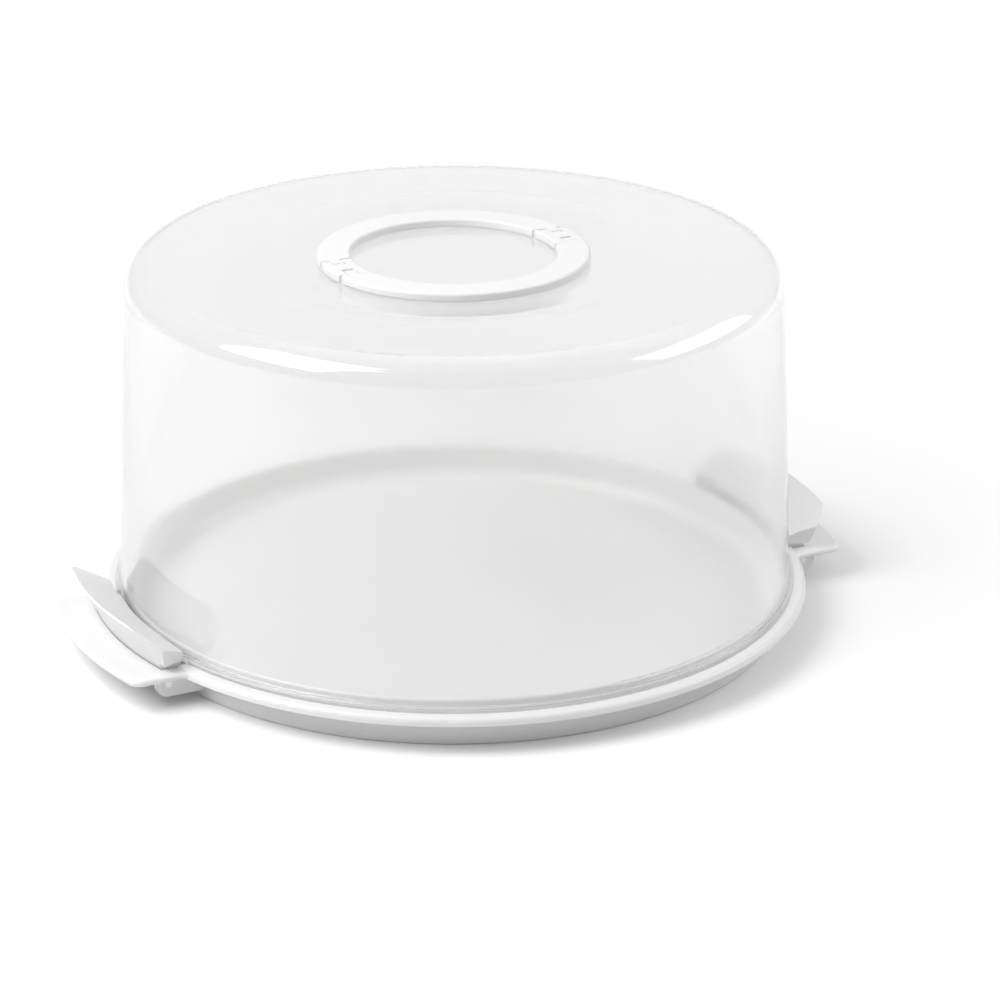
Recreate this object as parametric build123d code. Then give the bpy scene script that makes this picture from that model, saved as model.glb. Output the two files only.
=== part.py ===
from build123d import *
import os
from math import cos, hypot, radians, sin, sqrt, tan

# Cake carrier: a round tray with two side handles, a clear lift-off dome held by two
# hinged side latches, and a flat ring handle that folds up from the top of the dome.
# Frame: origin at the centre of the tray's underside, +Z up, handles along X. Millimetres.

# ---- Base tray -------------------------------------------------------------------------
rim_radius = 160.0
rim_top = 17.4               # height of the face that the dome rests on
rim_thickness = 2.4
rim_drop = 13.8              # lower edge of the turned-down rim
rim_hem = 2.1                # width of the turned-down rim
rim_round = 2.0              # radius of the rim's upper outer edge
foot_inset = 11.6            # from the rim in to the ring that the tray stands on
foot_round = 1.1             # radius of the foot's outer edge
curb_inset = 10.0            # from the rim in to the curb that centres the dome
curb_rise = 4.8              # height of the curb above the rim
tray_wall = 2.2              # wall of the tray
floor_top = 5.5              # height of the serving face
floor_thickness = 2.4
floor_corner = 6.0           # inside radius where the floor meets the wall
rib_height = 2.3             # ribs under the floor
rib_width = 1.6
rib_count = 12
rib_ring_radius = 78.0
rib_hub_radius = 22.0

# ---- Side handles of the tray ----------------------------------------------------------
grip_reach = 22.5            # how far the two side handles stand out from the rim
grip_half_width = 50.0
grip_top = 16.5
grip_thickness = 3.0
grip_corner = 6.0            # plan radius of the outer corners
grip_root = 8.0              # plan radius where the handle runs into the rim
grip_edge = 1.3              # rounding of the edges that fingers hold
window_half_width = 42.4     # slot that the latch stands in
window_gap = 0.5             # between the latch and the outer edge of its slot
cheek_thickness = 2.6        # side plates under the handle that hold the latch pin
cheek_round = 5.7            # radius of the cheek about the pin

# ---- Dome lid --------------------------------------------------------------------------
dome_inset = 7.4             # from the rim in to the wall just above its flange
dome_draft = 2.66            # degrees
dome_wall = 2.0
dome_top = 169.7             # highest face, where the shoulder runs out
dome_shoulder = 12.7         # outer radius of the shoulder
flange_width = 2.1
flange_thickness = 2.6
flange_edge = 0.7
flange_fillet = 1.0
seat_drop = 2.8              # how far the handle seat lies below the highest face
seat_margin = 5.6            # flat around the ring handle
seat_fall = 30.0             # width of the slope down to that flat

# ---- Ring handle -----------------------------------------------------------------------
ring_inner = 46.1
ring_width = 14.3
ring_thickness = 4.0
ring_edge = 1.0
block_half_width = 10.4      # pivot block, measured along the ring from its middle
seam_notch = 1.3             # radius of the notches in the ring's edges at each seam
block_edge = 0.6             # rounding of the block's ends, which a bail turns past
bail_gap = 0.5               # between a pivot block and the end of a bail
pivot_offset = 5.5           # pivot axes lie this far each side of the middle
tongue_width = 5.0
tongue_gap = 0.25            # each side of a tongue in its slot
tongue_step = 0.05           # how far a tongue's underside is above its knuckle's
knuckle_radius = 1.75
bail_pin_radius = 0.9
bail_pin_length = 12.0
peg_radius = 1.5             # pegs that hold a pivot block to the dome
peg_gap = 0.1
peg_spacing = 8.0
peg_head_radius = 2.6
peg_head_height = 1.2

# ---- Side latches (drawn released; each turns inwards by ten degrees to close) ----------
hinge_inset = 1.6            # from the rim in to the latch pin
hinge_z = 10.4
latch_gap = 0.5              # between each end of the latch and its slot
waist_reach = 5.5            # from the rim out to the latch's outer face at the slot
waist_height = 17.0
lip_reach = 15.3             # from the rim out to the lip's top edge
lip_top = 35.2
lip_edge = 1.2               # width of the rounded top edge
lip_hollow = 0.4             # how far the lip's face bows in from straight
lip_half_width = 51.5
lip_corner = 7.5             # radius of the lip's upper corners
lip_rise = 1.8               # from the crest up to the flat between those corners, at the ends
lip_bottom = 19.3            # underside of the lip's ends, above the handle
lip_arc = 22.0               # half the angle about the dome that holds the whole lip
curl_inset = 69.1            # from the rim in to the axis of the lip's curled-in ends
curl_radius = 76.6           # radius of those ends at the height of the tray's foot
curl_lean = 0.36             # growth of that radius with height
facet_inset = 0.5            # from the rim in to the outer corner of the lip's end face
facet_half_width = 46.0
facet_height = 20.0
facet_normal = (-0.32, 0.91, -0.26)
skirt_bottom = 11.0          # lower edge of the latch's outer wall
latch_wall = 2.2
hook_gap = 0.4               # from the released hook to the edge of the dome's flange
hook_under = 21.45           # underside of the released hook
hook_over = 24.2             # top of the hook's nose
hook_half_width = 26.0
body_gap = 2.5               # from the latch's body to the edge of the dome's flange
latch_rib = 2.0
latch_rib_spacing = 14.0
latch_rib_count = 5
rib_reach = 33.0             # half width of the latch's high hollow
hollow_drop = 3.8            # how much lower its hollow is near the ends
barrel_radius = 3.3
latch_pin_radius = 1.5
run_clearance = 0.08         # radial play of a barrel or knuckle on its pin
press_clearance = 0.02       # radial play of a pin in the part that grips it

foot_radius = rim_radius - foot_inset
curb_radius = rim_radius - curb_inset
grip_radius = rim_radius + grip_reach
dome_foot_radius = rim_radius - dome_inset
flange_radius = dome_foot_radius + flange_width
flange_top = rim_top + flange_thickness
wall_slope = (curb_radius - foot_radius) / rim_top
ring_outer = ring_inner + ring_width
ring_middle = (ring_inner + ring_outer) / 2
seat_radius = ring_outer + seat_margin
seat_blend = seat_radius + seat_fall
seat_height = dome_top - seat_drop
pivot_z = seat_height + ring_thickness / 2
hinge_x = rim_radius - hinge_inset
latch_half_width = window_half_width - latch_gap
waist_radius = rim_radius + waist_reach
lip_radius = rim_radius + lip_reach
hook_tip = flange_radius + hook_gap
body_inner = flange_radius + body_gap
window_inner = flange_radius - flange_width
window_outer = waist_radius + window_gap - (waist_height - grip_top) / 2
deep = 400.0                 # longer than the part, for cutting tools
overrun = 1.0                # how far a short cutting tool runs past a face
pick_margin = 0.01           # for picking corners by their radius


def turned(outline):
    """Solid of revolution about Z from a closed outline of (radius, height) edges."""
    return revolve(make_face(outline), Axis.Z)


def at(radius, height):
    """Point of a section: radius from the Z axis and height."""
    return (radius, 0, height)


def sector(half_width):
    """Tall box over the +X side, limited in Y, that trims turned solids to one side."""
    return Pos(deep / 2, 0, 0) * Box(deep, half_width * 2, deep)


# ---------------------------------------------------------------------------- base tray
def tray_bowl():
    """Floor, wall, curb and turned-down rim in one turned section."""
    floor_under = floor_top - floor_thickness
    inner_foot = foot_radius - tray_wall
    inner_floor = inner_foot + wall_slope * floor_top
    corner_wall = floor_top + floor_corner
    curb_top = rim_top + curb_rise
    inner_top = curb_radius - tray_wall
    curb_round = tray_wall / 2
    under_rim = rim_top - rim_thickness
    bend = floor_corner * (1 - sin(radians(45)))
    bow = rim_round * (1 - cos(radians(45)))
    toe = foot_round * (1 - cos(radians(45)))
    outline = [
        ThreePointArc(
            at(foot_radius - foot_round, 0),
            at(foot_radius - toe, toe),
            at(foot_radius, foot_round),
        ),
        Line(at(foot_radius, foot_round), at(foot_radius + wall_slope * under_rim, under_rim)),
        Line(at(foot_radius + wall_slope * under_rim, under_rim), at(rim_radius - rim_hem, under_rim)),
        Line(at(rim_radius - rim_hem, under_rim), at(rim_radius - rim_hem, rim_drop)),
        Line(at(rim_radius - rim_hem, rim_drop), at(rim_radius, rim_drop)),
        Line(at(rim_radius, rim_drop), at(rim_radius, rim_top - rim_round)),
        ThreePointArc(
            at(rim_radius, rim_top - rim_round),
            at(rim_radius - bow, rim_top - bow),
            at(rim_radius - rim_round, rim_top),
        ),
        Line(at(rim_radius - rim_round, rim_top), at(curb_radius, rim_top)),
        Line(at(curb_radius, rim_top), at(curb_radius, curb_top - curb_round)),
        ThreePointArc(
            at(curb_radius, curb_top - curb_round),
            at(curb_radius - curb_round, curb_top),
            at(inner_top, curb_top - curb_round),
        ),
        Line(at(inner_top, curb_top - curb_round), at(inner_foot + wall_slope * corner_wall, corner_wall)),
        ThreePointArc(
            at(inner_foot + wall_slope * corner_wall, corner_wall),
            at(inner_floor - bend, floor_top + bend),
            at(inner_floor - floor_corner, floor_top),
        ),
        Line(at(inner_floor - floor_corner, floor_top), at(0, floor_top)),
        Line(at(0, floor_top), at(0, floor_under)),
        Line(at(0, floor_under), at(inner_foot, floor_under)),
        Line(at(inner_foot, floor_under), at(inner_foot, 0)),
        Line(at(inner_foot, 0), at(foot_radius - foot_round, 0)),
    ]
    return turned(outline)


def tray_ribs():
    """Radial ribs and one ring that stiffen the floor from below."""
    top = floor_top - floor_thickness
    low = top - rib_height
    reach = foot_radius - tray_wall / 2
    ring = Cylinder(rib_ring_radius, rib_height) - Cylinder(rib_ring_radius - rib_width, rib_height)
    hub = Cylinder(rib_hub_radius, rib_height) - Cylinder(rib_hub_radius - rib_width, rib_height)
    ribs = Pos(0, 0, (top + low) / 2) * (ring + hub)
    length = reach - rib_hub_radius + rib_width
    middle = rib_hub_radius - rib_width + length / 2
    for i in range(rib_count):
        arm = Pos(middle, 0, (top + low) / 2) * Box(length, rib_width, rib_height)
        ribs += Rot(0, 0, i * 360 / rib_count) * arm
    return ribs


def grip_plates():
    """The two side handles: plates that grow out of the rim."""
    rim_flat = rim_radius - rim_round
    strip = Rectangle(deep, grip_half_width * 2)
    plan = Circle(rim_flat) + (Circle(grip_radius) & strip)
    tips = [v for v in plan.vertices() if hypot(v.X, v.Y) > (rim_flat + grip_radius) / 2]
    plan = fillet(tips, grip_corner)
    roots = [v for v in plan.vertices() if hypot(v.X, v.Y) < rim_flat + pick_margin]
    plan = fillet(roots, grip_root)
    plan -= Circle(curb_radius)
    ends = Rectangle(deep, (grip_half_width + grip_root * 2) * 2) - Rectangle(rim_radius, deep)
    plate = Pos(0, 0, grip_top - grip_thickness) * extrude(plan & ends, grip_thickness)
    held = [
        e
        for e in plate.edges().filter_by(Plane.XY)
        if hypot((e @ 0.5).X, (e @ 0.5).Y) > rim_flat + grip_edge
    ]
    return fillet(held, grip_edge)


def latch_window():
    """The slot through rim and handle that a latch stands in, on both sides."""
    ring = Circle(window_outer) - Circle(window_inner)
    plan = ring & Rectangle(deep, window_half_width * 2)
    return Pos(0, 0, hinge_z) * extrude(plan, rim_top)


def cheek():
    """Plate under the +X handle, rounded about the latch pin, outline in XZ."""
    wall_middle = foot_radius - tray_wall / 2
    root = sqrt(wall_middle**2 - (window_half_width + cheek_thickness) ** 2)
    under = grip_top - grip_thickness / 2
    low = hinge_z - cheek_round
    outline = Pos((root + hinge_x) / 2, (low + under) / 2) * Rectangle(hinge_x - root, under - low)
    outline += Pos(hinge_x, (hinge_z + under) / 2) * Rectangle(cheek_round * 2, under - hinge_z)
    outline += Pos(hinge_x, hinge_z) * Circle(cheek_round)
    outline -= Pos(hinge_x, hinge_z) * Circle(latch_pin_radius + press_clearance)
    plate = Rot(90, 0, 0) * extrude(outline, cheek_thickness)
    return Pos(0, window_half_width + cheek_thickness, 0) * plate


def base_tray():
    one = cheek()
    right = one + mirror(one, Plane.XZ)
    tray = tray_bowl() + tray_ribs() + grip_plates()
    tray -= latch_window()
    return tray + right + mirror(right, Plane.YZ)


# ---------------------------------------------------------------------------- dome lid
def dome_edge(inset):
    """Outer face of the dome from foot to centre, moved inwards by inset."""
    lean = tan(radians(dome_draft))
    turn = radians(90 - dome_draft)
    round_radius = dome_shoulder - inset
    centre_z = dome_top - dome_shoulder
    wall_end_z = centre_z + round_radius * sin(radians(dome_draft))
    offset = inset / cos(radians(dome_draft))
    wall_end_r = dome_foot_radius - (wall_end_z - flange_top) * lean - offset
    centre_r = wall_end_r - round_radius * cos(radians(dome_draft))
    mid = radians(dome_draft) + turn / 2
    top = dome_top - inset
    seat = seat_height - inset
    shoulder = ThreePointArc(
        at(wall_end_r, wall_end_z),
        at(centre_r + round_radius * cos(mid), centre_z + round_radius * sin(mid)),
        at(centre_r, top),
    )
    crown = Line(at(centre_r, top), at(seat_blend, top))
    fall = Spline(
        at(seat_blend, top),
        at(seat_radius, seat),
        tangents=[(-1, 0, 0), (-1, 0, 0)],
    )
    flat = Line(at(seat_radius, seat), at(0, seat))
    return at(wall_end_r, wall_end_z), [shoulder, crown, fall, flat]


def dome_lid():
    """Clear dome: wall, shoulder and sunken top, with the flange that sits on the rim."""
    lean = tan(radians(dome_draft))
    offset = dome_wall / cos(radians(dome_draft))
    outer_start, outer = dome_edge(0)
    inner_start, inner = dome_edge(dome_wall)
    root_z = flange_top + flange_fillet
    wall_root = dome_foot_radius - flange_fillet * lean
    inner_foot = dome_foot_radius - offset + flange_thickness * lean
    bend = flange_fillet * (1 - sin(radians(45)))
    edge_bend = flange_edge * (1 - sin(radians(45)))
    outline = [
        Line(at(inner_foot, rim_top), at(flange_radius, rim_top)),
        Line(at(flange_radius, rim_top), at(flange_radius, flange_top - flange_edge)),
        ThreePointArc(
            at(flange_radius, flange_top - flange_edge),
            at(flange_radius - edge_bend, flange_top - edge_bend),
            at(flange_radius - flange_edge, flange_top),
        ),
        Line(at(flange_radius - flange_edge, flange_top), at(wall_root + flange_fillet, flange_top)),
        ThreePointArc(
            at(wall_root + flange_fillet, flange_top),
            at(wall_root + bend, flange_top + bend),
            at(wall_root, root_z),
        ),
        Line(at(wall_root, root_z), outer_start),
        *outer,
        Line(at(0, seat_height), at(0, seat_height - dome_wall)),
        *inner,
        Line(inner_start, at(inner_foot, rim_top)),
    ]
    dome = turned(outline)
    for side in (-1, 1):
        for x in (-peg_spacing / 2, peg_spacing / 2):
            hole = Cylinder(peg_radius + peg_gap, dome_wall * 3)
            dome -= Pos(side * ring_middle + x, 0, seat_height - dome_wall / 2) * hole
    return dome


# ---------------------------------------------------------------------------- ring handle
def whole_ring():
    """The full flat ring with rounded edges, from which bails and blocks are cut."""
    section = Rectangle(ring_outer - ring_inner, ring_thickness)
    section = fillet(section.vertices(), ring_edge)
    placed = Plane.XZ * Pos(ring_middle, seat_height + ring_thickness / 2) * section
    return revolve(placed, Axis.Z)


def seam_notches():
    """Notches through the ring's inner and outer edges where blocks and bails meet."""
    seam = block_half_width + bail_gap / 2
    notches = Part()
    for radius in (ring_inner, ring_outer):
        x = sqrt(radius**2 - seam**2)
        for place in ((x, seam), (-x, seam), (x, -seam), (-x, -seam)):
            notches += Pos(*place, pivot_z) * Cylinder(seam_notch, ring_thickness * 2)
    return notches


def bail(side):
    """Half ring that folds up; side is -1 for the front half and 1 for the rear half."""
    end = block_half_width + bail_gap
    half = whole_ring() & (Pos(0, side * (end + deep / 2), pivot_z) * Box(deep, deep, deep))
    half -= seam_notches()
    under = knuckle_radius - tongue_step
    thick = under + ring_thickness / 2
    reach = end - pivot_offset + ring_edge * 2
    for x in (-ring_middle, ring_middle):
        middle = Pos(x, side * (pivot_offset + reach / 2), pivot_z - under + thick / 2)
        tongue = middle * Box(tongue_width, reach, thick)
        axis = Pos(x, side * pivot_offset, pivot_z) * Rot(0, 90, 0)
        knuckle = axis * Cylinder(knuckle_radius, tongue_width)
        bore = axis * Cylinder(bail_pin_radius + run_clearance, tongue_width * 2)
        half = half + tongue + knuckle - bore
    return half


def bail_pins():
    """The two steel pins of the +X pivot block, one for each bail."""
    pins = []
    for side in (-1, 1):
        pin = Rot(0, 90, 0) * Cylinder(bail_pin_radius, bail_pin_length)
        pins.append(Pos(ring_middle, side * pivot_offset, pivot_z) * pin)
    return pins


def pivot_block():
    """Block of the +X side that carries both bails and is staked through the dome."""
    width = ring_outer - ring_inner
    block = whole_ring() & (Pos(ring_middle, 0, pivot_z) * Box(width * 2, block_half_width * 2, deep))
    block = fillet(block.faces().filter_by(Axis.Y).edges(), block_edge) - seam_notches()
    slot_width = tongue_width + tongue_gap * 2
    inner_end = pivot_offset - ring_thickness / 2 - tongue_gap
    length = block_half_width - inner_end + overrun
    for side in (-1, 1):
        slot = Pos(ring_middle, side * (inner_end + length / 2), pivot_z) * Box(slot_width, length, deep)
        bore = Rot(0, 90, 0) * Cylinder(bail_pin_radius + press_clearance, bail_pin_length)
        block = block - slot - Pos(ring_middle, side * pivot_offset, pivot_z) * bore
    peg_length = dome_wall + ring_thickness / 2
    head_z = seat_height - dome_wall - peg_head_height / 2
    for x in (-peg_spacing / 2, peg_spacing / 2):
        peg_z = seat_height - dome_wall + peg_length / 2
        block += Pos(ring_middle + x, 0, peg_z) * Cylinder(peg_radius, peg_length)
        block += Pos(ring_middle + x, 0, head_z) * Cylinder(peg_head_radius, peg_head_height)
    return block


# ---------------------------------------------------------------------------- side latch
def outer_face(height):
    """Radius of the latch's outer face at a height, before it is bowed."""
    lean = (lip_radius - waist_radius) / (lip_top - waist_height)
    return waist_radius + lean * (height - waist_height)


def latch_section(low):
    """Wedge between the lip's outer face and its sloping top, with the hook at its foot."""
    waist = (waist_radius, waist_height)
    middle = ((waist_radius + lip_radius) / 2 - lip_hollow, (waist_height + lip_top) / 2)
    crest = (lip_radius - lip_edge / 2, lip_top + lip_edge / 2)
    inner = (lip_radius - lip_edge, lip_top)
    outline = [
        Line((outer_face(low), low), waist),
        ThreePointArc(waist, middle, (lip_radius, lip_top)),
        ThreePointArc((lip_radius, lip_top), crest, inner),
        Line(inner, (hook_tip, hook_over)),
        Line((hook_tip, hook_over), (hook_tip, hook_under)),
        Line((hook_tip, hook_under), (body_inner, hook_under)),
        Line((body_inner, hook_under), (body_inner, low)),
        Line((body_inner, low), (outer_face(low), low)),
    ]
    return make_face(outline)


def hollow_section():
    """Section of the latch's hollow, open at the bottom and, below the hook, to the dome."""
    wedge = latch_section(hinge_z) - Pos(body_inner - deep / 2, 0) * Rectangle(deep, deep)
    hollow = offset(wedge, -latch_wall, kind=Kind.INTERSECTION)
    inside = body_inner - overrun
    corners = [
        (inside, hinge_z),
        (outer_face(hinge_z) - latch_wall, hinge_z),
        (outer_face(waist_height) - latch_wall, waist_height),
        (inside, waist_height),
    ]
    return hollow + make_face(Polyline(*corners, close=True))


def swept(section):
    """Turn a (radius, height) section about Z through an arc that holds the whole lip."""
    start = Rot(0, 0, -lip_arc) * (Plane.XZ * section)
    return revolve(start, Axis.Z, lip_arc * 2)


def lip_outline():
    """Bar along the slope of the lip's top, as wide as the lip and rounded at its corners."""
    slope = (lip_top - hook_over) / (lip_radius - lip_edge - hook_tip)
    top = lip_top + lip_edge / 2 + lip_rise
    front = Rectangle(lip_half_width * 2, deep)
    front = fillet(front.vertices().group_by(Axis.Y)[-1], lip_corner)
    front = Plane.YZ * Pos(0, top - deep / 2) * front
    front = Pos(lip_radius - lip_edge / 2, 0, 0) * front
    return extrude(front, deep / 2, dir=(1, 0, slope), both=True)


def lip_ends():
    """Tools that cut the two slanted end faces of the lip."""
    corner = (rim_radius - facet_inset, facet_half_width, facet_height)
    tool = extrude(Plane(origin=corner, z_dir=facet_normal) * Rectangle(deep, deep), deep)
    return tool + mirror(tool, Plane.XZ)


def lip_curl():
    """Cone about an axis near the latch, which turns in the ends of the lip's face."""
    tall = lip_top * 2
    cone = Cone(curl_radius, curl_radius + curl_lean * tall, tall)
    return Pos(rim_radius - curl_inset, 0, tall / 2) * cone


def latch_ribs():
    """Ribs across the hollow of the latch."""
    ribs = Part()
    for i in range(latch_rib_count):
        y = (i - (latch_rib_count - 1) / 2) * latch_rib_spacing
        ribs += Pos(hinge_x, y, hinge_z) * Box(deep, latch_rib, deep)
    return ribs


def side_latch():
    """Latch of the +X side, released."""
    wings = Box(deep, deep, lip_bottom * 2) - Box(deep, latch_half_width * 2, deep)
    shell = (swept(latch_section(skirt_bottom)) & lip_curl() & lip_outline()) - lip_ends()
    shell = shell - (Cylinder(body_inner, deep) - sector(hook_half_width)) - wings
    hollow = swept(hollow_section())
    low_hollow = Pos(0, 0, -hollow_drop) * hollow
    hollow = (hollow & sector(rib_reach)) + (low_hollow & sector(latch_half_width - latch_rib))
    axis = Pos(hinge_x, 0, hinge_z) * Rot(90, 0, 0)
    body = shell - (hollow - latch_ribs())
    body += axis * Cylinder(barrel_radius, latch_half_width * 2)
    return body - axis * Cylinder(latch_pin_radius + run_clearance, deep)


def latch_pin():
    """Steel pin of the +X latch, held in both cheeks."""
    length = (window_half_width + cheek_thickness) * 2
    return Pos(hinge_x, 0, hinge_z) * Rot(90, 0, 0) * Cylinder(latch_pin_radius, length)


def mirrored(shape):
    return mirror(shape, Plane.YZ)


def main():
    right_latch = side_latch()
    right_block = pivot_block()
    right_pins = bail_pins()
    nodes = {
        "base_tray": base_tray(),
        "dome_lid": dome_lid(),
        "right_latch": right_latch,
        "left_latch": mirrored(right_latch),
        "right_latch_pin": latch_pin(),
        "left_latch_pin": mirrored(latch_pin()),
        "right_pivot_block": right_block,
        "left_pivot_block": mirrored(right_block),
        "right_bail_pins": Compound(right_pins),
        "left_bail_pins": Compound([mirrored(p) for p in right_pins]),
        "front_bail": bail(-1),
        "rear_bail": bail(1),
    }
    os.makedirs("parts", exist_ok=True)
    for name, shape in nodes.items():
        export_step(shape, f"parts/{name}.step")


main()
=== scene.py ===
import math

import bpy
from bpy.props import FloatProperty, FloatVectorProperty, PointerProperty
from bpy.types import Operator, Panel, PropertyGroup
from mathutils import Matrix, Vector


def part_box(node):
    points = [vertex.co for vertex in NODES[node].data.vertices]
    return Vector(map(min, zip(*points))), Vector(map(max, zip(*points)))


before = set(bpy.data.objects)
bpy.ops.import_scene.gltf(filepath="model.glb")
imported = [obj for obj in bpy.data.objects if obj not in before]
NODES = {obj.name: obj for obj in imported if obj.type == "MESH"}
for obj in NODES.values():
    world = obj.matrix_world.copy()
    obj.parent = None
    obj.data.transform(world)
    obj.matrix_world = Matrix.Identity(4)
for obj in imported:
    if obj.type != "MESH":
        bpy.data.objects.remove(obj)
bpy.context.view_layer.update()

bl_info = {
    "name": "Cake Carrier",
    "version": (1, 0, 0),
    "blender": (4, 5, 0),
    "location": "View3D > Sidebar > Cake Carrier",
    "description": "Finishes for a cake carrier with a clear dome, side latches and a ring handle",
    "category": "Object",
}

MM = 0.001
SENSOR = 36.0

TRAY = "base_tray"
DOME = "dome_lid"
LATCHES = ("right_latch", "left_latch")
RING = ("right_pivot_block", "left_pivot_block", "front_bail", "rear_bail")
PINS = ("right_latch_pin", "left_latch_pin", "right_bail_pins", "left_bail_pins")


# ------------------------------------------------------------------------------ settings
class WhitePlasticSettings(PropertyGroup):
    """White moulded plastic of the tray, the latches and the ring handle."""

    colour: FloatVectorProperty(
        name="Colour", description="Colour of the white plastic", subtype="COLOR",
        size=3, min=0.0, max=1.0, default=(0.78, 0.78, 0.777),
    )
    roughness: FloatProperty(
        name="Roughness", description="How matt the plastic is", subtype="FACTOR",
        min=0.0, max=1.0, default=0.30,
    )
    grain: FloatProperty(
        name="Grain size", description="Size of the grain that the mould leaves", subtype="DISTANCE",
        unit="LENGTH", min=0.0001, max=0.01, default=0.0011,
    )


class ClearPlasticSettings(PropertyGroup):
    """Clear plastic of the dome."""

    colour: FloatVectorProperty(
        name="Colour", description="Tint of light that has passed the wall", subtype="COLOR",
        size=3, min=0.0, max=1.0, default=(0.915, 0.915, 0.915),
    )
    roughness: FloatProperty(
        name="Roughness", description="How much the wall blurs what shows through it", subtype="FACTOR",
        min=0.0, max=1.0, default=0.07,
    )
    haze: FloatProperty(
        name="Haze", description="Share of the wall that scatters light", subtype="FACTOR",
        min=0.0, max=1.0, default=0.05,
    )


class SteelSettings(PropertyGroup):
    """Drawn steel of the pins."""

    colour: FloatVectorProperty(
        name="Colour", description="Colour of the steel", subtype="COLOR",
        size=3, min=0.0, max=1.0, default=(0.62, 0.62, 0.63),
    )
    roughness: FloatProperty(
        name="Roughness", description="How matt the steel is", subtype="FACTOR",
        min=0.0, max=1.0, default=0.28,
    )


class StudioSettings(PropertyGroup):
    """Floor, lamps and camera."""

    floor_colour: FloatVectorProperty(
        name="Floor", description="Colour of the floor", subtype="COLOR",
        size=3, min=0.0, max=1.0, default=(0.95, 0.95, 0.95),
    )
    floor_glow: FloatProperty(
        name="Floor glow", description="Light added to the floor far from the object where it is seen",
        min=0.0, max=1.0, default=0.58,
    )
    floor_bounce: FloatProperty(
        name="Floor bounce", description="Share of the floor's colour that lights the object",
        subtype="FACTOR", min=0.0, max=1.0, default=0.85,
    )
    glow_radius: FloatProperty(
        name="Glow radius", description="Distance from the object at which the floor is fully white",
        subtype="DISTANCE", unit="LENGTH", min=0.1, max=6.0, default=1.1,
    )
    left_lamp: FloatProperty(
        name="Left lamp", description="Power of the large lamp on the left", unit="POWER",
        min=0.0, max=200.0, default=13.4,
    )
    right_lamp: FloatProperty(
        name="Right lamp", description="Power of the lamp on the right", unit="POWER",
        min=0.0, max=200.0, default=6.0,
    )
    ambient: FloatProperty(
        name="Ambient", description="Strength of the surrounding light at the horizon",
        min=0.0, max=2.0, default=0.20,
    )
    overhead: FloatProperty(
        name="Overhead", description="Strength of the surrounding light straight above",
        min=0.0, max=2.0, default=0.68,
    )
    focal_length: FloatProperty(
        name="Focal length", description="Lens of the camera", unit="CAMERA",
        min=10.0, max=400.0, default=133.711,
    )


# ------------------------------------------------------------------------- node helpers
def socket(group, name, kind, way, default=None):
    """Add one named socket to a node group."""
    made = group.interface.new_socket(name=name, in_out=way, socket_type=kind)
    if default is not None:
        made.default_value = default
    return made


def place(tree, kind, **values):
    """Add a node and set its properties."""
    node = tree.nodes.new(kind)
    for key, value in values.items():
        setattr(node, key, value)
    return node


def set_inputs(node, values):
    """Set the default values of a node's named inputs."""
    for name, value in values.items():
        node.inputs[name].default_value = value


def arithmetic(tree, operation, first, second, clamp=False):
    """Maths node of two inputs; each is a socket or a number."""
    node = place(tree, "ShaderNodeMath", operation=operation, use_clamp=clamp)
    for i, value in enumerate((first, second)):
        if isinstance(value, bpy.types.NodeSocket):
            tree.links.new(value, node.inputs[i])
        else:
            node.inputs[i].default_value = value
    return node.outputs[0]


def ramp(tree, value, low, high, out_low=0.0, out_high=1.0):
    """Map a value from one range to another."""
    node = place(tree, "ShaderNodeMapRange", clamp=True)
    set_inputs(node, {"From Min": low, "From Max": high, "To Min": out_low, "To Max": out_high})
    tree.links.new(value, node.inputs["Value"])
    return node.outputs["Result"]


def vector_node(tree, operation, *values):
    """Vector maths node fed by the given sockets."""
    node = place(tree, "ShaderNodeVectorMath", operation=operation)
    for i, value in enumerate(values):
        tree.links.new(value, node.inputs[i])
    return node


def new_group(name, kind="ShaderNodeTree"):
    """Empty node group with its two end nodes."""
    group = bpy.data.node_groups.new(name, kind)
    group.nodes.new("NodeGroupInput")
    group.nodes.new("NodeGroupOutput")
    return group


def ends(group):
    """Outputs of the group's input node and inputs of its output node."""
    entry = next(n for n in group.nodes if n.type == "GROUP_INPUT")
    leave = next(n for n in group.nodes if n.type == "GROUP_OUTPUT")
    return entry.outputs, leave.inputs


def place_group(tree, group, **values):
    """Put a node group in a material with its own values."""
    node = place(tree, "ShaderNodeGroup", node_tree=group)
    set_inputs(node, {key.replace("_", " "): value for key, value in values.items()})
    return node


def noise(tree, vector, scale, detail=2.0, roughness=0.5):
    """Noise over a vector, with a scale that is a socket or a number."""
    node = place(tree, "ShaderNodeTexNoise")
    set_inputs(node, {"Detail": detail, "Roughness": roughness})
    tree.links.new(vector, node.inputs["Vector"])
    if isinstance(scale, bpy.types.NodeSocket):
        tree.links.new(scale, node.inputs["Scale"])
    else:
        node.inputs["Scale"].default_value = scale
    return node.outputs["Fac"]


# ----------------------------------------------------------------- dome's turned profile
DOME_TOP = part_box("dome_lid")[1][2]
SHOULDER_RADIUS = 12.7 * MM
SHOULDER_CENTRE = 133.5 * MM   # where the level crown runs into the shoulder
WALL_DRAFT = math.radians(2.66)
FALL_START = 66.0 * MM         # the slope from the crown down to the handle's seat
FALL_END = 96.0 * MM
FALL_DEPTH = 2.8 * MM
FALL_STEEPNESS = 6.0           # slope of a smooth step is 6 t (1 - t)
EASE_REACH = 9.0 * MM          # the shoulder turns out of the crown gently over this distance
EASE_START = 0.3
FLANGE_ZONE = 25.0 * MM        # height below which the flange keeps its own normals
FORM_MATCH = 0.9               # a facet turned further from the profile keeps its own normal


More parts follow.
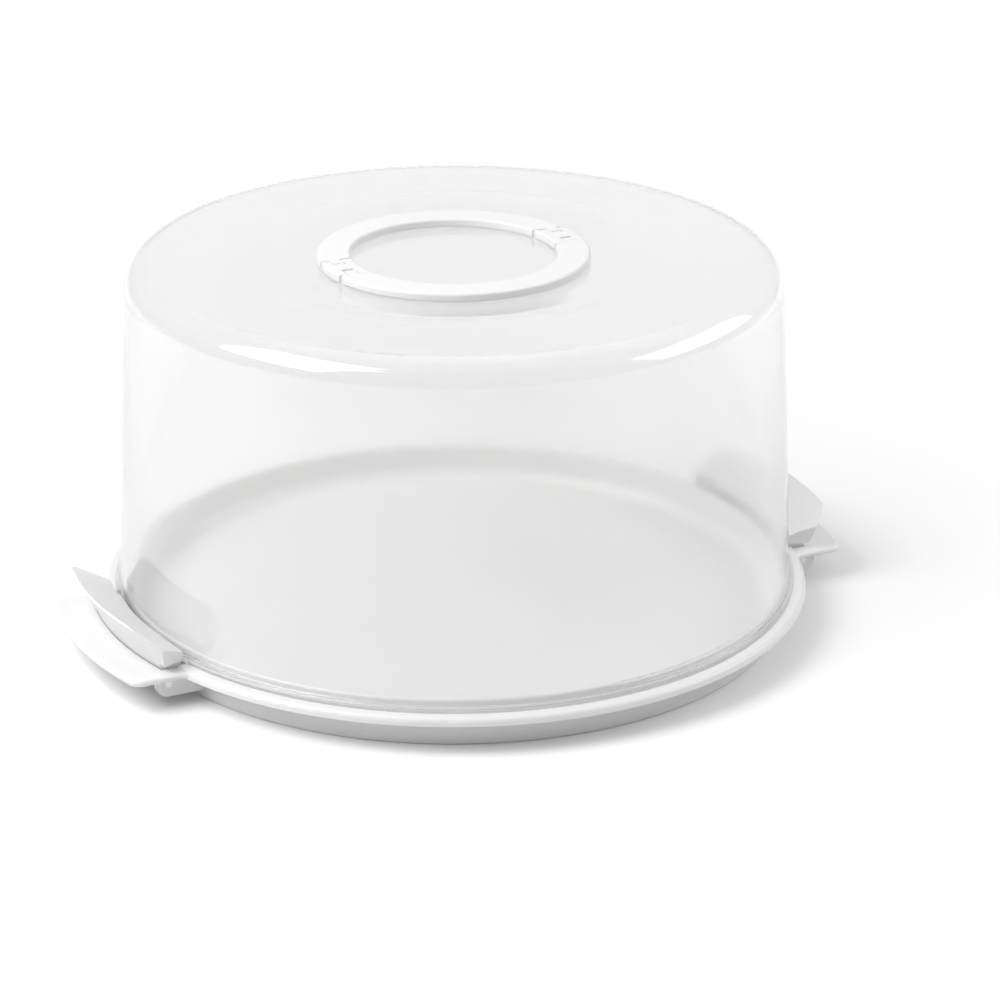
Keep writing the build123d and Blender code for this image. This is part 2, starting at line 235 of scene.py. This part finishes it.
def profile_normal(group, where):
    """Normal of the turned profile at a place on the dome, and the height of that place."""
    flat = vector_node(group, "MULTIPLY", where)
    flat.inputs[1].default_value = (1.0, 1.0, 0.0)
    radius = vector_node(group, "LENGTH", flat.outputs["Vector"]).outputs["Value"]
    outwards = vector_node(group, "NORMALIZE", flat.outputs["Vector"])
    parts = place(group, "ShaderNodeSeparateXYZ")
    group.links.new(where, parts.inputs["Vector"])
    height = parts.outputs["Z"]

    past = arithmetic(group, "MAXIMUM", arithmetic(group, "SUBTRACT", radius, SHOULDER_CENTRE), 0.0)
    over = arithmetic(group, "SUBTRACT", height, DOME_TOP - SHOULDER_RADIUS)
    wall_rise = arithmetic(group, "MULTIPLY", past, math.tan(WALL_DRAFT))
    over = arithmetic(group, "MAXIMUM", over, wall_rise)
    ease = ramp(group, past, 0.0, EASE_REACH, EASE_START, 1.0)
    eased = arithmetic(group, "MULTIPLY", past, ease)

    share = ramp(group, radius, FALL_START, FALL_END)
    curve = arithmetic(group, "MULTIPLY", share, arithmetic(group, "SUBTRACT", 1.0, share))
    steepest = FALL_STEEPNESS * FALL_DEPTH / (FALL_END - FALL_START)
    slope = arithmetic(group, "MULTIPLY", curve, steepest)
    side = arithmetic(group, "SUBTRACT", eased, arithmetic(group, "MULTIPLY", over, slope))

    lean = vector_node(group, "SCALE", outwards.outputs["Vector"])
    group.links.new(side, lean.inputs["Scale"])
    rise = place(group, "ShaderNodeCombineXYZ")
    group.links.new(over, rise.inputs["Z"])
    total = vector_node(group, "ADD", lean.outputs["Vector"], rise.outputs["Vector"])
    return vector_node(group, "NORMALIZE", total.outputs["Vector"]).outputs["Vector"], height


def dome_form():
    """Geometry group that gives the dome the normals of its turned profile, free of facets."""
    group = bpy.data.node_groups.get("dome_form")
    if group:
        return group
    group = new_group("dome_form", "GeometryNodeTree")
    socket(group, "Geometry", "NodeSocketGeometry", "INPUT")
    socket(group, "Geometry", "NodeSocketGeometry", "OUTPUT")
    entry, result = ends(group)
    where = place(group, "GeometryNodeInputPosition").outputs["Position"]
    unit, height = profile_normal(group, where)
    face = place(group, "GeometryNodeInputNormal")
    facing = vector_node(group, "DOT_PRODUCT", unit, face.outputs["True Normal"]).outputs["Value"]
    signed = vector_node(group, "SCALE", unit)
    group.links.new(arithmetic(group, "SIGN", facing, 0.0), signed.inputs["Scale"])
    fits = arithmetic(group, "GREATER_THAN", arithmetic(group, "ABSOLUTE", facing, 0.0), FORM_MATCH)
    above = arithmetic(group, "GREATER_THAN", height, FLANGE_ZONE)
    choice = place(group, "ShaderNodeMix", data_type="VECTOR")
    group.links.new(arithmetic(group, "MULTIPLY", fits, above), choice.inputs["Factor"])
    before, after = [i for i in choice.inputs if i.enabled and i.name in ("A", "B")]
    group.links.new(face.outputs["Normal"], before)
    group.links.new(signed.outputs["Vector"], after)
    chosen = next(o for o in choice.outputs if o.enabled)
    shaped = place(group, "GeometryNodeSetMeshNormal", mode="FREE", domain="CORNER")
    group.links.new(entry["Geometry"], shaped.inputs["Mesh"])
    group.links.new(chosen, shaped.inputs["Custom Normal"])
    group.links.new(shaped.outputs["Mesh"], result["Geometry"])
    return group


# -------------------------------------------------------------------------- node groups
CLOUD_SCALE = 14.0            # noise cells per metre
SHEEN_SCALE = 60.0
PATCH_SCALE = 22.0
SWELL_SHARE = 0.13            # cells of the slow swell against those of the fine grain
SWELL_HEIGHT = 2.0            # its height against the fine grain's
SCRATCH_WAYS = ((0.6, (1.0, 0.04, 0.35)), (-0.9, (0.05, 1.0, 0.3)))  # turn and stretch
SCRATCH_TILT = (0.2, -0.1)
SCRATCH_EDGE = (0.62, 0.66)
DRAWN_DEPTH = 0.004 * MM


def moulded_grain():
    """Orange peel, flow marks and soft clouding that a mould leaves in plastic."""
    group = bpy.data.node_groups.get("moulded_grain")
    if group:
        return group
    group = new_group("moulded_grain")
    socket(group, "Grain size", "NodeSocketFloat", "INPUT", 0.001)
    socket(group, "Grain depth", "NodeSocketFloat", "INPUT", 0.00001)
    socket(group, "Cloud", "NodeSocketFloat", "INPUT", 0.02)
    socket(group, "Height", "NodeSocketFloat", "OUTPUT")
    socket(group, "Tone", "NodeSocketFloat", "OUTPUT")
    socket(group, "Sheen mask", "NodeSocketFloat", "OUTPUT")
    given, result = ends(group)
    where = place(group, "ShaderNodeTexCoord").outputs["Object"]
    fine_scale = arithmetic(group, "DIVIDE", 1.0, given["Grain size"])
    fine = noise(group, where, fine_scale, 3.0, 0.55)
    swell = noise(group, where, arithmetic(group, "MULTIPLY", fine_scale, SWELL_SHARE), 1.0)
    height = arithmetic(group, "ADD", fine, arithmetic(group, "MULTIPLY", swell, SWELL_HEIGHT))
    group.links.new(arithmetic(group, "MULTIPLY", height, given["Grain depth"]), result["Height"])
    cloud = arithmetic(group, "SUBTRACT", noise(group, where, CLOUD_SCALE, 4.0, 0.6), 0.5)
    tone = arithmetic(group, "ADD", arithmetic(group, "MULTIPLY", cloud, given["Cloud"]), 1.0)
    group.links.new(tone, result["Tone"])
    sheen = ramp(group, noise(group, where, SHEEN_SCALE, 5.0, 0.65), 0.35, 0.7)
    group.links.new(sheen, result["Sheen mask"])
    return group


def fine_scratches():
    """Hair lines from wiping, in two crossing directions that wander."""
    group = bpy.data.node_groups.get("fine_scratches")
    if group:
        return group
    group = new_group("fine_scratches")
    socket(group, "Spacing", "NodeSocketFloat", "INPUT", 0.004)
    socket(group, "Amount", "NodeSocketFloat", "INPUT", 0.5)
    socket(group, "Mask", "NodeSocketFloat", "OUTPUT")
    given, result = ends(group)
    where = place(group, "ShaderNodeTexCoord").outputs["Object"]
    density = arithmetic(group, "DIVIDE", 1.0, given["Spacing"])
    total = None
    for angle, stretch in SCRATCH_WAYS:
        turn = place(group, "ShaderNodeMapping")
        set_inputs(turn, {"Rotation": (*SCRATCH_TILT, angle), "Scale": stretch})
        group.links.new(where, turn.inputs["Vector"])
        lines = noise(group, turn.outputs["Vector"], density, 2.0, 0.5)
        hair = ramp(group, lines, *SCRATCH_EDGE)
        total = hair if total is None else arithmetic(group, "MAXIMUM", total, hair)
    patch = ramp(group, noise(group, where, PATCH_SCALE, 2.0), 0.45, 0.65)
    mask = arithmetic(group, "MULTIPLY", total, patch)
    group.links.new(arithmetic(group, "MULTIPLY", mask, given["Amount"]), result["Mask"])
    return group


def drawn_lines():
    """Fine lines along a drawn pin, whichever way the pin lies."""
    group = bpy.data.node_groups.get("drawn_lines")
    if group:
        return group
    group = new_group("drawn_lines")
    socket(group, "Line width", "NodeSocketFloat", "INPUT", 0.0002)
    socket(group, "Height", "NodeSocketFloat", "OUTPUT")
    socket(group, "Mask", "NodeSocketFloat", "OUTPUT")
    given, result = ends(group)
    where = place(group, "ShaderNodeTexCoord").outputs["Object"]
    density = arithmetic(group, "DIVIDE", 1.0, given["Line width"])
    lines = noise(group, where, density, 2.0)
    group.links.new(arithmetic(group, "MULTIPLY", lines, DRAWN_DEPTH), result["Height"])
    group.links.new(ramp(group, lines, 0.35, 0.65), result["Mask"])
    return group


# ---------------------------------------------------------------------------- materials
PLASTIC_IOR = 1.49
WHITE_SKIN = {
    "IOR": PLASTIC_IOR, "Subsurface Weight": 0.12, "Subsurface Radius": (4 * MM, 4 * MM, 4 * MM),
    "Subsurface Scale": 1.0,
}
CLEAR_SKIN = {
    "IOR": PLASTIC_IOR, "Transmission Weight": 1.0, "Coat Weight": 0.4, "Coat Roughness": 0.04,
    "Coat IOR": PLASTIC_IOR,
}
HAZE_COLOUR = (0.9, 0.9, 0.9, 1.0)
PASSING_COLOUR = (0.955, 0.955, 0.955, 1.0)   # what a wall leaves of light on its way to other pieces
WHITE_SPREAD = 0.08           # how far the sheen's roughness goes up from its base value
CLEAR_SPREAD = 0.02
STEEL_SPREAD = 0.14
WHITE_WEAR = 0.12             # roughness that the hair lines add
CLEAR_WEAR = 0.03
GLOW_START = 0.3              # metres from the middle of the object


def new_material(name):
    """Empty node material; returns it with its tree, its shader and its output."""
    material = bpy.data.materials.new(name)
    material.use_nodes = True
    tree = material.node_tree
    tree.nodes.clear()
    shader = tree.nodes.new("ShaderNodeBsdfPrincipled")
    output = tree.nodes.new("ShaderNodeOutputMaterial")
    tree.links.new(shader.outputs["BSDF"], output.inputs["Surface"])
    return material, tree, shader, output


def toned(tree, colour, tone):
    """Colour multiplied by a slowly changing value."""
    mix = place(tree, "ShaderNodeVectorMath", operation="SCALE")
    mix.inputs[0].default_value = tuple(colour)[:3]
    tree.links.new(tone, mix.inputs["Scale"])
    return mix.outputs["Vector"]


def bump(tree, shader, height):
    """Feed a height in metres to a shader's normal."""
    node = place(tree, "ShaderNodeBump")
    node.inputs["Distance"].default_value = 1.0
    tree.links.new(height, node.inputs["Height"])
    tree.links.new(node.outputs["Normal"], shader.inputs["Normal"])


def worn_rough(tree, shader, base, spread, grain, marks, wear):
    """Roughness that changes with the grain's sheen and goes up along the hair lines."""
    rough = ramp(tree, grain.outputs["Sheen mask"], 0.0, 1.0, base, base + spread)
    worn = arithmetic(tree, "MULTIPLY", marks.outputs["Mask"], wear)
    tree.links.new(arithmetic(tree, "ADD", rough, worn), shader.inputs["Roughness"])


def white_plastic(settings):
    """White polypropylene: soft sheen, fine grain, faint wiping marks."""
    material = bpy.data.materials.get("white_plastic_skin")
    if material:
        return material
    material, tree, shader, _ = new_material("white_plastic_skin")
    grain = place_group(
        tree, moulded_grain(), Grain_size=settings.grain, Grain_depth=0.012 * MM, Cloud=0.035
    )
    marks = place_group(tree, fine_scratches(), Spacing=3 * MM, Amount=0.6)
    tree.links.new(toned(tree, settings.colour, grain.outputs["Tone"]), shader.inputs["Base Color"])
    worn_rough(tree, shader, settings.roughness, WHITE_SPREAD, grain, marks, WHITE_WEAR)
    bump(tree, shader, grain.outputs["Height"])
    set_inputs(shader, WHITE_SKIN)
    return material


def clear_plastic(settings):
    """Clear plastic of the dome: glassy, with a little haze and fine wiping marks."""
    material = bpy.data.materials.get("clear_plastic_skin")
    if material:
        return material
    material, tree, shader, output = new_material("clear_plastic_skin")
    grain = place_group(tree, moulded_grain(), Grain_size=6 * MM, Grain_depth=0.01 * MM, Cloud=0.02)
    marks = place_group(tree, fine_scratches(), Spacing=3.5 * MM, Amount=1.0)
    tree.links.new(toned(tree, settings.colour, grain.outputs["Tone"]), shader.inputs["Base Color"])
    worn_rough(tree, shader, settings.roughness, CLEAR_SPREAD, grain, marks, CLEAR_WEAR)
    bump(tree, shader, grain.outputs["Height"])
    set_inputs(shader, CLEAR_SKIN)
    haze = tree.nodes.new("ShaderNodeBsdfTranslucent")
    haze.inputs["Color"].default_value = HAZE_COLOUR
    soft = tree.nodes.new("ShaderNodeMixShader")
    soft.inputs["Fac"].default_value = settings.haze
    tree.links.new(shader.outputs["BSDF"], soft.inputs[1])
    tree.links.new(haze.outputs["BSDF"], soft.inputs[2])
    passing = tree.nodes.new("ShaderNodeBsdfTransparent")
    passing.inputs["Color"].default_value = PASSING_COLOUR
    path = tree.nodes.new("ShaderNodeLightPath")
    final = tree.nodes.new("ShaderNodeMixShader")
    shadow, fill = path.outputs["Is Shadow Ray"], path.outputs["Is Diffuse Ray"]
    soft_light = arithmetic(tree, "ADD", shadow, fill, clamp=True)
    tree.links.new(soft_light, final.inputs["Fac"])
    tree.links.new(soft.outputs["Shader"], final.inputs[1])
    tree.links.new(passing.outputs["BSDF"], final.inputs[2])
    tree.links.new(final.outputs["Shader"], output.inputs["Surface"])
    return material


def drawn_steel(settings):
    """Drawn stainless steel of the pins."""
    material = bpy.data.materials.get("drawn_steel_skin")
    if material:
        return material
    material, tree, shader, _ = new_material("drawn_steel_skin")
    lines = place_group(tree, drawn_lines(), Line_width=0.25 * MM)
    grain = place_group(tree, moulded_grain(), Grain_size=0.6 * MM, Grain_depth=0.001 * MM, Cloud=0.06)
    tree.links.new(toned(tree, settings.colour, grain.outputs["Tone"]), shader.inputs["Base Color"])
    base = settings.roughness
    rough = ramp(tree, lines.outputs["Mask"], 0.0, 1.0, base, base + STEEL_SPREAD)
    tree.links.new(rough, shader.inputs["Roughness"])
    bump(tree, shader, lines.outputs["Height"])
    shader.inputs["Metallic"].default_value = 1.0
    return material


def seen_directly(tree):
    """1 for camera, glossy and transmission rays, 0 for rays that only light the object."""
    path = tree.nodes.new("ShaderNodeLightPath")
    direct = arithmetic(tree, "ADD", path.outputs["Is Camera Ray"], path.outputs["Is Glossy Ray"])
    return arithmetic(tree, "ADD", direct, path.outputs["Is Transmission Ray"], clamp=True)


def floor_material(settings):
    """Pale floor that shows white where the object casts no shadow."""
    material, tree, shader, output = new_material("pale_floor")
    tree.nodes.remove(shader)
    direct = seen_directly(tree)
    matt = tree.nodes.new("ShaderNodeBsdfDiffuse")
    shade = place(tree, "ShaderNodeVectorMath", operation="SCALE")
    shade.inputs[0].default_value = tuple(settings.floor_colour)
    tree.links.new(ramp(tree, direct, 0.0, 1.0, settings.floor_bounce, 1.0), shade.inputs["Scale"])
    tree.links.new(shade.outputs["Vector"], matt.inputs["Color"])
    glow = tree.nodes.new("ShaderNodeEmission")
    where = place(tree, "ShaderNodeTexCoord").outputs["Object"]
    far = place(tree, "ShaderNodeVectorMath", operation="LENGTH")
    tree.links.new(where, far.inputs[0])
    level = ramp(tree, far.outputs["Value"], GLOW_START, settings.glow_radius, 0.0, settings.floor_glow)
    strength = arithmetic(tree, "MULTIPLY", direct, level)
    tree.links.new(strength, glow.inputs["Strength"])
    both = tree.nodes.new("ShaderNodeAddShader")
    tree.links.new(matt.outputs["BSDF"], both.inputs[0])
    tree.links.new(glow.outputs["Emission"], both.inputs[1])
    tree.links.new(both.outputs["Shader"], output.inputs["Surface"])
    return material


# ------------------------------------------------------------------------------- pieces
def dress(names, material):
    """Give CAD nodes a material in place of the ones they had."""
    for name in names:
        piece = NODES[name]
        piece.data.materials.clear()
        piece.data.materials.append(material)


class CAKE_OT_tray(Operator):
    """Finish the tray with its side handles"""

    bl_idname = "cake_carrier.tray"
    bl_label = "Tray"

    def execute(self, context):
        dress((TRAY,), white_plastic(context.scene.cake_white))
        return {"FINISHED"}


class CAKE_OT_latches(Operator):
    """Finish the two side latches"""

    bl_idname = "cake_carrier.latches"
    bl_label = "Side latches"

    def execute(self, context):
        dress(LATCHES, white_plastic(context.scene.cake_white))
        return {"FINISHED"}


class CAKE_OT_dome(Operator):
    """Finish the clear dome"""

    bl_idname = "cake_carrier.dome"
    bl_label = "Dome"

    def execute(self, context):
        dress((DOME,), clear_plastic(context.scene.cake_clear))
        dome = NODES[DOME]
        if "form" not in dome.modifiers:
            dome.modifiers.new("form", "NODES").node_group = dome_form()
        return {"FINISHED"}


class CAKE_OT_ring(Operator):
    """Finish the folding ring handle and its pivot blocks"""

    bl_idname = "cake_carrier.ring"
    bl_label = "Ring handle"

    def execute(self, context):
        dress(RING, white_plastic(context.scene.cake_white))
        return {"FINISHED"}


class CAKE_OT_pins(Operator):
    """Finish the steel pins of latches and bails"""

    bl_idname = "cake_carrier.pins"
    bl_label = "Pins"

    def execute(self, context):
        dress(PINS, drawn_steel(context.scene.cake_steel))
        return {"FINISHED"}


# -------------------------------------------------------------------------------- stage
FLOOR_SIDE = 12.0
LAMP_AIM = Vector((0.0, 0.0, 0.08))
LAMPS = {   # azimuth and elevation in degrees, then distance, width and height in metres
    "left_lamp": (-91.4, 45.0, 1.25, 0.84, 0.85),
    "right_lamp": (68.5, 28.0, 1.3, 1.13, 0.6),
}
CAMERA_PLACE = Vector((-0.67405, -1.41345, 0.6785))
CAMERA_TURN = (67.4279, 0.0, -25.9162)
CAMERA_SHIFT = (0.02, 0.05)
CLIP_START, CLIP_END = 0.01, 100.0


def make_floor(settings):
    """Large level floor under the object."""
    half = FLOOR_SIDE / 2
    mesh = bpy.data.meshes.new("floor")
    corners = [(-half, -half, 0.0), (half, -half, 0.0), (half, half, 0.0), (-half, half, 0.0)]
    mesh.from_pydata(corners, [], [(0, 1, 2, 3)])
    floor = bpy.data.objects.new("floor", mesh)
    bpy.context.scene.collection.objects.link(floor)
    mesh.materials.append(floor_material(settings))
    return floor


def make_lamp(name, azimuth, elevation, distance, width, height, power):
    """Rectangular lamp of a power in watts that faces the object; azimuth 0 is -Y and 90 is +X."""
    a, e = math.radians(azimuth), math.radians(elevation)
    back = Vector((math.sin(a) * math.cos(e), -math.cos(a) * math.cos(e), math.sin(e)))
    lamp = bpy.data.lights.new(name, "AREA")
    lamp.shape = "RECTANGLE"
    lamp.size = width
    lamp.size_y = height
    lamp.energy = power
    holder = bpy.data.objects.new(name, lamp)
    holder.location = LAMP_AIM + back * distance
    holder.rotation_euler = (-back).to_track_quat("-Z", "Y").to_euler()
    bpy.context.scene.collection.objects.link(holder)
    return holder


def make_world(settings):
    """White surroundings that light the object mostly from above."""
    world = bpy.data.worlds.new("studio")
    world.use_nodes = True
    tree = world.node_tree
    tree.nodes.clear()
    sky = tree.nodes.new("ShaderNodeBackground")
    output = tree.nodes.new("ShaderNodeOutputWorld")
    sky.inputs["Color"].default_value = (1.0, 1.0, 1.0, 1.0)
    height = tree.nodes.new("ShaderNodeSeparateXYZ")
    tree.links.new(place(tree, "ShaderNodeTexCoord").outputs["Generated"], height.inputs["Vector"])
    light = ramp(tree, height.outputs["Z"], 0.0, 1.0, settings.ambient, settings.overhead)
    strength = place(tree, "ShaderNodeMix", data_type="FLOAT")
    tree.links.new(seen_directly(tree), strength.inputs["Factor"])
    tree.links.new(light, strength.inputs["A"])
    strength.inputs["B"].default_value = 1.0
    tree.links.new(strength.outputs["Result"], sky.inputs["Strength"])
    tree.links.new(sky.outputs["Background"], output.inputs["Surface"])
    bpy.context.scene.world = world


def make_camera(settings):
    """Camera a little above the rim, turned to the left side of the object."""
    data = bpy.data.cameras.new("camera")
    data.sensor_width = SENSOR
    data.lens = settings.focal_length
    data.shift_x, data.shift_y = CAMERA_SHIFT
    camera = bpy.data.objects.new("camera", data)
    camera.location = CAMERA_PLACE
    camera.rotation_euler = [math.radians(v) for v in CAMERA_TURN]
    bpy.context.scene.collection.objects.link(camera)
    bpy.context.scene.camera = camera
    data.clip_start, data.clip_end = CLIP_START, CLIP_END


class CAKE_OT_studio(Operator):
    """Make floor, lamps, surroundings and camera"""

    bl_idname = "cake_carrier.studio"
    bl_label = "Studio"

    def execute(self, context):
        settings = context.scene.cake_studio
        context.scene.view_settings.view_transform = "Standard"
        make_floor(settings)
        for name, layout in LAMPS.items():
            make_lamp(name, *layout, getattr(settings, name))
        make_world(settings)
        make_camera(settings)
        return {"FINISHED"}


# ------------------------------------------------------------------------------- add-on
OPERATORS = (
    CAKE_OT_tray,
    CAKE_OT_latches,
    CAKE_OT_dome,
    CAKE_OT_ring,
    CAKE_OT_pins,
    CAKE_OT_studio,
)


class CAKE_PT_panel(Panel):
    """Lists the pieces of the cake carrier and the settings of its finishes"""

    bl_label = "Cake Carrier"
    bl_idname = "CAKE_PT_panel"
    bl_space_type = "VIEW_3D"
    bl_region_type = "UI"
    bl_category = "Cake Carrier"

    def draw(self, context):
        layout = self.layout
        for operator in OPERATORS:
            layout.operator(operator.bl_idname)
        for holder in ("cake_white", "cake_clear", "cake_steel", "cake_studio"):
            settings = getattr(context.scene, holder)
            box = layout.box()
            for name in settings.__annotations__:
                box.prop(settings, name)


SETTINGS = {
    "cake_white": WhitePlasticSettings,
    "cake_clear": ClearPlasticSettings,
    "cake_steel": SteelSettings,
    "cake_studio": StudioSettings,
}
CLASSES = (*SETTINGS.values(), *OPERATORS, CAKE_PT_panel)


def register():
    for cls in CLASSES:
        bpy.utils.register_class(cls)
    for name, cls in SETTINGS.items():
        setattr(bpy.types.Scene, name, PointerProperty(type=cls))


def unregister():
    for name in SETTINGS:
        delattr(bpy.types.Scene, name)
    for cls in reversed(CLASSES):
        bpy.utils.unregister_class(cls)


def main():
    register()
    for operator in OPERATORS:
        family, name = operator.bl_idname.split(".")
        if getattr(getattr(bpy.ops, family), name)() != {"FINISHED"}:
            raise RuntimeError(f"{operator.bl_label} could not be made")


if __name__ == "__main__":
    main()
